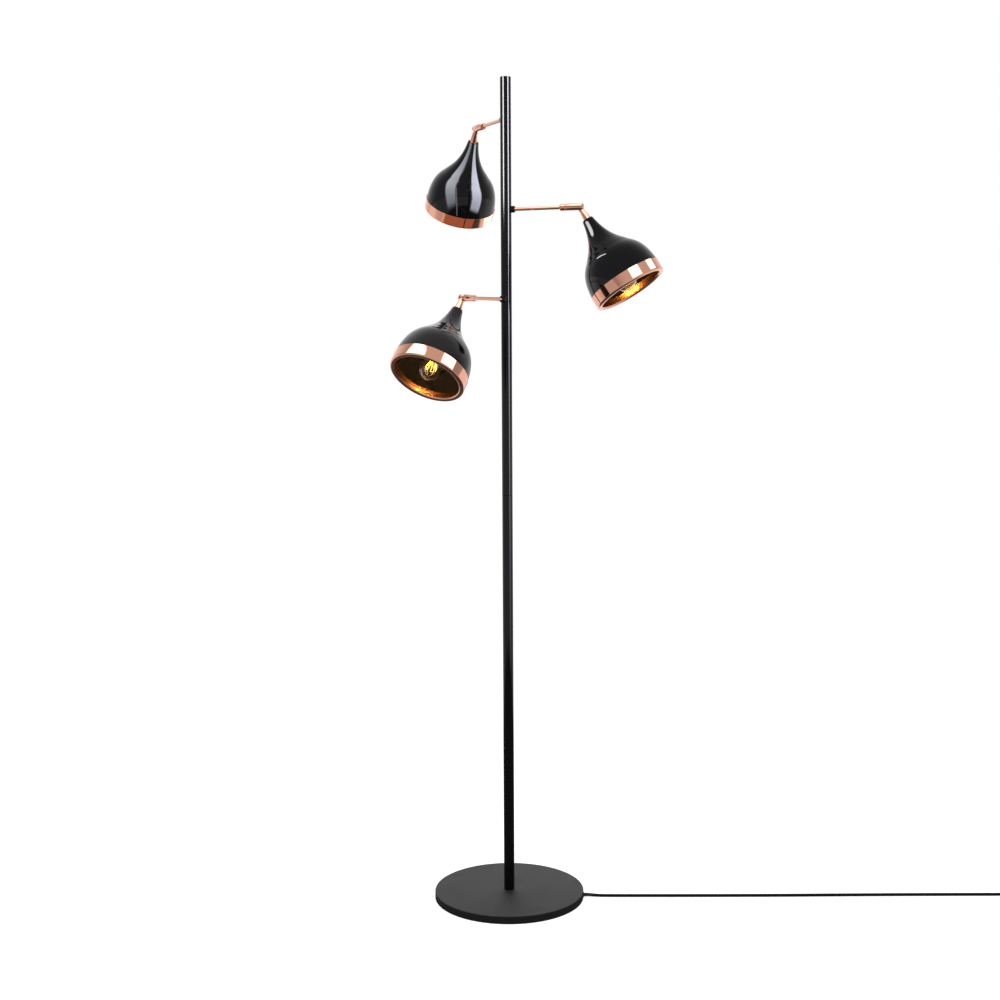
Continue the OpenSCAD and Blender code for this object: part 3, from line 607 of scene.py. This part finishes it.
top_edge = [(BAND_OUT_R - 0.25, BAND_S), (BAND_OUT_R - 0.02, BAND_S + 0.2)]
band_line = top_edge + skin(0)[1:] + skin(SHEET)[::-1]
band = turned("band", [(r, -s) for r, s in band_line], 128, angle=40)
paint(band, copper)
band.data.materials.append(rolled)
for face in band.data.polygons:
    from_axis = math.hypot(face.center.x, face.center.y)
    if from_axis < (LIP_R + 1.2) * MM and face.center.z > -(RIM_S - 3) * MM:
        face.material_index = 1
three_copies(band, "band_folded", head_place, "head_body_{}", ["rim_band_{}"])

# %% [markdown]
# ## Inside the shade: nut, holder and bulb
# A nut under the neck plate and a phenolic holder hang on the stem's thread, and a small round bulb is
# screwed into the holder. The glass is a thin blown wall, turned as two skins, because light has to go
# through both, or the bulb would look like a solid ball.

# %% Holder and bulb glass
BULB_R, BULB_INSET, BULB_NECK_R, BULB_NECK_S, GLASS_WALL = 22.5, 1.5, 6.8, 103, 0.8
GLOBE_S = RIM_S - BULB_INSET - BULB_R


def blown(inset):
    r, join = BULB_R - inset, math.radians(128)
    start = (BULB_NECK_R - inset, BULB_NECK_S)
    end = (r * math.sin(join), GLOBE_S + r * math.cos(join))
    neck = (start, (start[0], start[1] + 7),
            (end[0] + 5 * math.cos(join), end[1] - 5 * math.sin(join)), end)
    return [bezier(neck, k / 10) for k in range(10)] + [
        (r * math.sin(a), GLOBE_S + r * math.cos(a)) for a in (join * (1 - k / 30) for k in range(31))]


globe = turned("globe", [(r, -s) for r, s in blown(0) + blown(GLASS_WALL)[::-1]], 64)
paint(globe, glass)
three_copies(globe, "bulb_blown", head_place, "head_body_{}", ["bulb_glass_{}"])

for side in SIDES:
    holder = fair_copy(f"lamp_holder_{side}", f"holder_{side}", angle=30)
    paint(holder, phenolic)
    stand_for(holder, f"head_body_{side}", [f"lamp_holder_{side}"])
    paint(frame["nodes"][f"neck_nut_{side}"], zinc)
    paint(frame["nodes"][f"bulb_cap_{side}"], nickel)

# %% [markdown]
# ## The filament
# The wire runs up and down round a glass stem as a cage of straight hairpins. A single line of points
# is drawn as a curve with a round section, then made a mesh. Real wire is finer than a tenth of a
# millimetre. It is drawn as thick as its glow looks.

# %% Filament cage
def wire(name, points, radius, ring=3):
    curve = bpy.data.curves.new(name, "CURVE")
    curve.dimensions = "3D"
    curve.bevel_depth, curve.bevel_resolution, curve.use_fill_caps = radius, ring, True
    spline = curve.splines.new("POLY")
    spline.points.add(len(points) - 1)
    for place, point in zip(spline.points, points):
        place.co = (*point, 1)
    piece = bpy.data.objects.new(name, curve)
    bpy.context.scene.collection.objects.link(piece)
    return piece


def as_mesh(piece):
    pick(piece)
    bpy.ops.object.convert(target="MESH")
    return bpy.context.object


WIRES, WIRE_R = 10, 0.3
low, high = (4.5, BULB_NECK_S + 12), (10.0, GLOBE_S + 1)

hairpins = []
for k in range(WIRES):
    a = math.tau * k / WIRES
    for r, s in ((low, high) if k % 2 else (high, low)):
        hairpins.append((r * math.cos(a) * MM, r * math.sin(a) * MM, -s * MM))
cage = as_mesh(wire("cage", hairpins, WIRE_R * MM))
paint(cage, glowing)
three_copies(cage, "filament_cage", head_place, "head_body_{}", ["filament_{}"])

mount = turned("mount", [(0, -BULB_NECK_S - 0.2), (4.2, -BULB_NECK_S - 0.2), (3.4, -BULB_NECK_S - 6),
                         (1.6, -BULB_NECK_S - 11), (0.9, -BULB_NECK_S - 14), (0.9, -GLOBE_S),
                         (0, -GLOBE_S - 1)], 24, closed=False)
paint(mount, glass)
three_copies(mount, "filament_mount", head_place, "head_body_{}", [])

# %% [markdown]
# ## The cord on the floor
# A free cord has a fixed length. This one leaves the base low on its right side and lies straight along
# the floor to a foot switch, 0.9 m away. The rest of its nearly two metres is put away as for storage,
# in a flat round coil beside the switch, and ends in a flat plug. Its line is drawn through a few points
# by a Catmull-Rom curve, which passes smoothly through every one of them.

# %% Route along the floor
CORD_D = 6
EXIT_R, EXIT_TURN, EXIT_Z = 151.2, math.radians(-2.5), 4.6
EXIT = (EXIT_R * math.cos(EXIT_TURN), EXIT_R * math.sin(EXIT_TURN), EXIT_Z)
ROUTE = [EXIT, (160, -7, 4.6), (180, -7.9, 3.2), (210, -9, 3.1), (270, -10, 3.1), (350, -11, 3.1),
         (450, -12, 3.1), (560, -12.5, 3.1), (680, -12, 3.1), (800, -12, 3.1), (900, -12.5, 3.1),
         (960, -13, 3.1), (992, -13, 3.1), (1007, -13, 4.6), (1021, -13, 6), (1028, -13, 6)]


def between(before, a, b, after, t):
    return tuple(0.5 * (2 * q + (r - p) * t + (2 * p - 5 * q + 4 * r - s) * t * t
                        + (3 * q - p - 3 * r + s) * t ** 3) for p, q, r, s in zip(before, a, b, after))


def through(route, step):
    last, line = len(route) - 1, []
    for i in range(last):
        count = max(1, round(math.dist(route[i], route[i + 1]) / step))
        around = route[max(i - 1, 0)], route[i], route[i + 1], route[min(i + 2, last)]
        line += [between(*around, k / count) for k in range(count)]
    return line + [route[last]]


def metres(line):
    return [tuple(v * MM for v in p) for p in line]


def length_of(line):
    return sum(math.dist(a, b) for a, b in zip(line, line[1:]))


floor_line = metres(through(ROUTE, 15))
run = wire("cord_on_floor", floor_line, CORD_D / 2 * MM, 6)
run.data.materials.append(pvc)
print(f"cord to the switch: {length_of(floor_line):.3f} m")

# %% [markdown]
# The coil lies in two layers. It spirals in on the floor, climbs a little over one diameter in the half
# turn where it reverses, and spirals out again on top. Its turns lie seven tenths of a millimetre apart.

# %% Coil
COIL = {"x": 1148, "y": 29, "outer": 42, "pitch": 6.7, "turns": 4.5, "steps": 24, "low": 3.1}


def eased(t):
    u = min(max(t, 0), 1)
    return u * u * (3 - 2 * u)


def coil_point(turn):
    r = COIL["outer"] - COIL["pitch"] * min(turn, COIL["turns"] - turn)
    climb = eased((turn - COIL["turns"] / 2) * 2 + 0.5)
    a = math.radians(360 * turn - 90)
    return COIL["x"] + r * math.cos(a), COIL["y"] + r * math.sin(a), COIL["low"] + COIL["pitch"] * climb


def lead(start, end, ease_from, ease_to):
    line = []
    for k in range(6):
        t = k / 5
        e = eased((t - ease_from) / (ease_to - ease_from))
        line.append((start[0] + (end[0] - start[0]) * t, start[1],
                     start[2] + (end[2] - start[2]) * e))
    return line


wound = [coil_point(k / COIL["steps"]) for k in range(1, int(COIL["turns"] * COIL["steps"]))]
coil_line = metres(lead((1114, -13, 6), (1148, -13, 3.1), 0.2, 1) + wound
                   + lead((1148, 71, 9.8), (1112, 71, 7), 0, 0.8))
coil = wire("cord_in_coil", coil_line, CORD_D / 2 * MM, 6)
coil.data.materials.append(pvc)
print(f"coiled cord: {length_of(coil_line):.3f} m")

# %% [markdown]
# A tapered sleeve keeps the cord from bending sharply where it leaves the base. It follows the cord's
# own line for its first 21 mm, and the radius of each curve point gives it its taper and ribs.

# %% Sleeve at the base
SLEEVE_LEN, SLEEVE_R = 21, 3.6

near = through([tuple(v / MM for v in p) for p in floor_line[:4]], 0.5)
near = [p for p in near if p[0] <= EXIT[0] + SLEEVE_LEN]
sleeve = wire("cord_sleeve", metres(near), 1.0, 6)
for k, point in enumerate(sleeve.data.splines[0].points):
    t = k / (len(near) - 1)
    rib = 0.2 if int(t * 8) % 2 and t < 0.9 else 0
    point.radius = (SLEEVE_R - 0.5 * t - rib) * MM
sleeve = as_mesh(sleeve)
smooth(sleeve, 40)
paint(sleeve, moulded)
stand_for(sleeve, "stand", [])
show(sleeve)

# %% [markdown]
# ## Foot switch and plug
# The switch is a low round housing in two moulded shells, parted by a fine groove, with a ribbed neck
# for the cord on either side.

# %% Foot switch
SWITCH_PLACE = Matrix.Translation((1071 * MM, -13 * MM, 0))
SWITCH_R, SWITCH_H, SWITCH_ROUND, WELL_R, WELL_Z = 29, 19, 5, 15.05, 11

centre_r, centre_z = SWITCH_R - SWITCH_ROUND, SWITCH_H - SWITCH_ROUND
shoulder = [(centre_r + SWITCH_ROUND * math.cos(math.radians(a)),
             centre_z + SWITCH_ROUND * math.sin(math.radians(a))) for a in range(8, 91, 8)]
shell = turned("switch_shell", [
    (0, 0.3), (26.5, 0.3), (27.6, 0), (SWITCH_R, 1.5), (SWITCH_R, 6.6), (28.6, 6.8), (28.6, 7.2),
    (SWITCH_R, 7.4), (SWITCH_R, centre_z), *shoulder, (centre_r, SWITCH_H), (17, SWITCH_H),
    (16.2, 18.8), (15.6, 18.2), (WELL_R, 18), (WELL_R, WELL_Z), (0, WELL_Z)], 96, closed=False)
necks = []
for turn in (0, 180):
    t = [(k + 0.45 + side * 0.15) / 3.5 for k in range(3) for side in range(4)]
    ribs = [(4.1 + 1.5 * u - (0.6 if i % 4 in (1, 2) else 0), 17 * u) for i, u in enumerate(t)]
    neck = turned("neck", [(0, 0), (3.6, 0), (4.1, 0.5), *ribs, (5.6, 17), (0, 17)], 32,
                  closed=False)
    neck.data.transform(Matrix.Rotation(math.radians(turn), 4, "Z")
                        @ Matrix.Translation((-0.043, 0, 0.006))
                        @ Matrix.Rotation(math.radians(90), 4, "Y"))
    necks.append(neck)
pick(shell)
for neck in necks:
    neck.select_set(True)
bpy.ops.object.join()
shell.data.transform(SWITCH_PLACE)
shell.name = "switch_housing"
paint(shell, moulded)
stand_for(shell, "stand", ["foot_switch"])
show(shell)

# %% [markdown]
# The button is a turned cap with a dished top and a fine ring. It stands in the housing's well on a
# spring and rides on its own body, so that it can travel.

# %% Button
BUTTON_R, BUTTON_FROM = 15, 14.3

button = turned("switch_cap", [
    (0, BUTTON_FROM), (BUTTON_R, BUTTON_FROM), (BUTTON_R, 21.6), (14.8, 22.5), (14.2, 23.2),
    (13.4, 23.5), (11.6, 23.4), (11.4, 23.1), (11.1, 23.1), (10.9, 23.3), (7.5, 22.9),
    (0, 22.7)], 96, closed=False)
button.data.transform(SWITCH_PLACE)
paint(button, button_abs)
stand_for(button, "button_body", ["switch_button"])
show(button)

# %% [markdown]
# The plug is a flat moulded body, and its pins have black sleeves where they leave it. Both are fair
# copies, and the faces of the sleeves get the second material.

# %% Plug and pins
SLEEVES_FROM_X = 1.0485

plug = fair_copy("plug", "plug_body", bevel=1.2, angle=20, segments=3)
paint(plug, moulded)
stand_for(plug, "stand", ["plug"])
show(plug)

pins = fair_copy("plug_pins", "pins_sleeved", angle=30)
paint(pins, nickel)
pins.data.materials.append(moulded)
for face in pins.data.polygons:
    face.material_index = 1 if face.center.x > SLEEVES_FROM_X else 0
stand_for(pins, "stand", ["plug_pins"])
show(pins)

# %% [markdown]
# Each drawn cord stands for a cord of the frame, whose solid is hidden, and rides on the stand.

# %% Attaching the cords
for cord, node in ((run, "cord_run"), (coil, "cord_coil")):
    stand_for(cord, "stand", [node])

# %% [markdown]
# ## The studio
# The picture is a packshot on white. A white floor and a white world show behind the lamp and in its
# glass. In reflections the studio is white at the back and dim in front, as where a photographer works,
# so the enamel stays black with light edges. Close round the lamp, the floor as reflections see it is
# painted dim: a painted shade round the lamp, which only reflections show.

# %% Floor and world
def add_rays(tree):
    """1 where the camera, or a ray through glass, sees the surface, and 1 where a reflection does."""
    ray = add_node(tree, "ShaderNodeLightPath")
    seen = add_node(tree, "ShaderNodeMath",
                    {0: ray.outputs["Is Camera Ray"], 1: ray.outputs["Is Transmission Ray"]},
                    operation="MAXIMUM")
    return seen.outputs[0], ray.outputs["Is Glossy Ray"]


def ramp(tree, value, start, end, low, high):
    node = add_node(tree, "ShaderNodeMapRange",
                    {"Value": value, "From Min": start, "From Max": end, "To Min": low, "To Max": high},
                    interpolation_type="SMOOTHSTEP")
    return node.outputs[0]


bpy.ops.object.select_all(action="DESELECT")
bpy.ops.mesh.primitive_circle_add(vertices=64, radius=40, fill_type="NGON", location=(0, 0, 0))
floor = bpy.context.object
floor.name = "studio_floor"
material = bpy.data.materials.new("white_paper")
material.use_nodes = True
tree = material.node_tree
tree.nodes.clear()
seen, mirrored = add_rays(tree)
where = add_node(tree, "ShaderNodeTexCoord")
paper = add_node(tree, "ShaderNodeBsdfDiffuse", {"Color": linear("#E6E6E6")})
glow = add_node(tree, "ShaderNodeEmission", {"Color": linear("#FFFFFF"), "Strength": 0.62})
lit = add_node(tree, "ShaderNodeAddShader", {0: paper.outputs[0], 1: glow.outputs[0]})
along = add_node(tree, "ShaderNodeSeparateXYZ", {0: where.outputs["Object"]})
far = add_node(tree, "ShaderNodeVectorMath", {0: where.outputs["Object"], 1: (0, -0.6, 0)},
               operation="DISTANCE")
# Painted shade: the floor's brightness in reflections drops close to the lamp.
near = ramp(tree, far.outputs["Value"], 1.7, 2.1, 0.12, 1.0)
back = ramp(tree, along.outputs["Y"], -0.5, 1.5, 0.6, 1.0)
level = add_node(tree, "ShaderNodeMath", {0: near, 1: back}, operation="MULTIPLY").outputs[0]
sheen = add_node(tree, "ShaderNodeEmission", {"Color": linear("#FFFFFF"), "Strength": level})
both = add_node(tree, "ShaderNodeMixShader", {0: seen, 1: paper.outputs[0], 2: lit.outputs[0]})
both = add_node(tree, "ShaderNodeMixShader", {0: mirrored, 1: both.outputs[0], 2: sheen.outputs[0]})
add_node(tree, "ShaderNodeOutputMaterial", {"Surface": both.outputs[0]})
paint(floor, material)
floor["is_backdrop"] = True

world = bpy.data.worlds.new("white_studio")
bpy.context.scene.world = world
world.use_nodes = True
tree = world.node_tree
tree.nodes.clear()
seen, mirrored = add_rays(tree)
where = add_node(tree, "ShaderNodeTexCoord")
along = add_node(tree, "ShaderNodeSeparateXYZ", {0: where.outputs["Generated"]})
level = ramp(tree, along.outputs["Y"], 0.0, 1.0, 0.38, 1.0)
plain = add_node(tree, "ShaderNodeBackground", {"Color": linear("#FFFFFF"), "Strength": 0.6})
white = add_node(tree, "ShaderNodeBackground", {"Color": linear("#FFFFFF"), "Strength": 1.0})
sheen = add_node(tree, "ShaderNodeBackground", {"Color": linear("#FFFFFF"), "Strength": level})
both = add_node(tree, "ShaderNodeMixShader", {0: seen, 1: plain.outputs[0], 2: white.outputs[0]})
both = add_node(tree, "ShaderNodeMixShader", {0: mirrored, 1: both.outputs[0], 2: sheen.outputs[0]})
add_node(tree, "ShaderNodeOutputWorld", {"Surface": both.outputs[0]})

# %% [markdown]
# Two large soft boxes in front, left and right, give the plain light. The bright shapes in the gloss are
# separate. Each head is lit by itself, so each has its own glints: soft boxes that only reflections
# see, linked to the pieces whose names start with the given words. Their table gives the point that the
# boxes face and their distance from it, in metres. Then each box has a row: degrees round from the
# camera and up, width and height in degrees, a lean and the brightness, and where they differ from the
# usual, the share of brightness left at the bottom, the width of the soft edge and the tint. A box is
# bright to near its edge, as cloth over a lamp is, so its reflection has a soft edge.

# %% Soft boxes
def fall_off(lamp, bottom, edge):
    """Dims an area light towards its edges, and towards its bottom to the given share."""
    lamp.use_nodes = True
    tree = lamp.node_tree
    tree.nodes.clear()
    place = add_node(tree, "ShaderNodeNewGeometry")
    sides = add_node(tree, "ShaderNodeSeparateXYZ", {0: place.outputs["Parametric"]})
    level = ramp(tree, sides.outputs["Y"], 0.0, 1.0, bottom, 1.0)
    for side in ("X", "Y"):
        off = add_node(tree, "ShaderNodeMath", {0: sides.outputs[side], 1: 0.5}, operation="SUBTRACT")
        off = add_node(tree, "ShaderNodeMath", {0: off.outputs[0]}, operation="ABSOLUTE")
        inside = ramp(tree, off.outputs[0], 0.5 - edge, 0.5, 1.0, 0.0)
        level = add_node(tree, "ShaderNodeMath", {0: level, 1: inside}, operation="MULTIPLY").outputs[0]
    light = add_node(tree, "ShaderNodeEmission", {"Color": linear("#FFFFFF"), "Strength": level})
    add_node(tree, "ShaderNodeOutputLight", {"Surface": light.outputs[0]})


def soft_box(name, centre, reach, turn, rise, wide, high, lean, radiance, bottom=1.0, edge=0.1,
             tint="#FFFFFF"):
    a, e = math.radians(turn), math.radians(rise)
    toward = Vector((math.sin(a) * math.cos(e), -math.cos(a) * math.cos(e), math.sin(e)))
    lamp = bpy.data.lights.new(name, "AREA")
    lamp.shape = "RECTANGLE"
    lamp.size, lamp.size_y = (2 * reach * math.tan(math.radians(v / 2)) for v in (wide, high))
    lamp.energy, lamp.color = radiance * math.pi * lamp.size * lamp.size_y, linear(tint)[:3]
    fall_off(lamp, bottom, edge)
    box = bpy.data.objects.new(name, lamp)
    bpy.context.scene.collection.objects.link(box)
    box.matrix_world = (Matrix.Translation(Vector(centre) + reach * toward)
                        @ toward.to_track_quat("Z", "Y").to_matrix().to_4x4()
                        @ Matrix.Rotation(math.radians(lean), 4, "Z"))
    box.visible_camera = False
    return box


def pieces_named(words):
    """A collection of the pieces whose names start with one of the words, for light linking."""
    linked = bpy.data.collections.new(words)
    for piece in bpy.data.objects:
        if piece.type == "MESH" and piece.name.startswith(tuple(words.split())):
            linked.objects.link(piece)
    return linked


for name, turn in (("left", -50), ("right", 56)):
    fill = soft_box(f"fill_{name}", (0, 0, 1.1), 2.2, turn, 14, 36, 50, 0, 3.0)
    fill.visible_glossy = False

GLINTS = {
    "shade_spun_upper": ((-0.085, 0.2, 1.43), 0.28, [
        (-37, 16, 40, 96, 6, 20, 0.25, 0.2, "#F0F3FF"), (50, -4, 38, 78, 0, 30, 0.5, 0.15, "#E8EDFF"),
        (24, -10, 4, 80, 0, 6), (-16, -10, 3, 80, 0, 5)]),
    "band_folded_upper": ((-0.095, 0.22, 1.39), 0.8, [
        (125, -18, 56, 30, 0, 1.8), (0, -52, 110, 50, 0, 0.33, 1, 0.05, "#FFA060")]),
    "shade_spun_middle": ((0.156, -0.078, 1.332), 0.08, [(-67, 22, 54, 7.5, 35, 24)]),
    "band_folded_middle": ((0.17, -0.07, 1.24), 2.2, [
        (24, 31, 34, 12, 18, 4), (98, 37, 26, 10, -5, 4), (35, 20, 140, 120, 0, 0.3, 1, 0.4)]),
    "shade_spun_lower": ((-0.12, -0.2, 1.08), 2.2, [(150, 66, 125, 125, 0, 0.5, 1, 0.3)]),
    "band_folded_lower": ((-0.12, -0.2, 1.08), 2.2, [
        (-66, 56, 56, 16, 22, 4), (67, 27, 40, 12, -42, 4), (0, 45, 140, 120, 0, 0.3, 1, 0.4)]),
    "arm_tube collar knuckle pivot stem": ((0, 0, 1.3), 2.2, [(0, 75, 95, 80, 0, 2.4, 1, 0.2)]),
    "pole": ((0, 0, 1.4), 2.2, [
        (-50, 16.8, 26, 28, 0, 40), (54, 19, 24, 30, 0, 6, 1, 0.1, "#EEEEFF"),
        (54, 14, 24, 42, 0, 14, 1, 0.1, "#EEEEFF"), (54, -2, 24, 74, 0, 34, 0, 0.1, "#EEEEFF")]),
    "cover": ((0, 0, 0.03), 2.2, [(180, 24, 110, 40, 0, 1.2, 1, 0.3)]),
}
for words, (centre, reach, boxes) in GLINTS.items():
    linked = pieces_named(words)
    for k, row in enumerate(boxes):
        glint = soft_box(f"glint_{words.split()[0]}_{k + 1}", centre, reach, *row)
        glint.visible_diffuse = False
        glint.light_linking.receiver_collection = linked

# %% [markdown]
# ## The bulbs' own light
# Each bulb lights the inside of its shade. A small warm ball of light stands at the filament and rides
# with the head. It passes the clear glass and lights only the shade, the band and the holder round it.

# %% Lit bulbs
BULB_WATTS, GLOW_R, GLOW_BEHIND = 1.3, 8, 8

for side, place in zip(SIDES, head_place):
    lamp = bpy.data.lights.new(f"bulb_light_{side}", "POINT")
    lamp.color = linear("#FFCC66")[:3]
    lamp.shadow_soft_size, lamp.energy = GLOW_R * MM, BULB_WATTS
    light = bpy.data.objects.new(lamp.name, lamp)
    bpy.context.scene.collection.objects.link(light)
    light.matrix_world = place @ Matrix.Translation((0, 0, -(GLOBE_S - GLOW_BEHIND) * MM))
    light.visible_camera = light.visible_transmission = False
    inside = pieces_named(f"shade_spun_{side} band_folded_{side} holder_{side}")
    light.light_linking.receiver_collection = inside
    light.light_linking.blocker_collection = inside
    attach(light, f"head_body_{side}")

# %% [markdown]
# The plain view transform shows colours as they were set, with white paper as white.

# %% Plain view settings
bpy.context.scene.view_settings.view_transform = "Standard"

# %% [markdown]
# ## Sizes, and the end
# The box round the dressed lamp is printed. The dressed lamp has to stay in the box of its solids.

# %% Finish
import json

low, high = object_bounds()
print("box", [round(v, 4) for v in (*low, *high)])
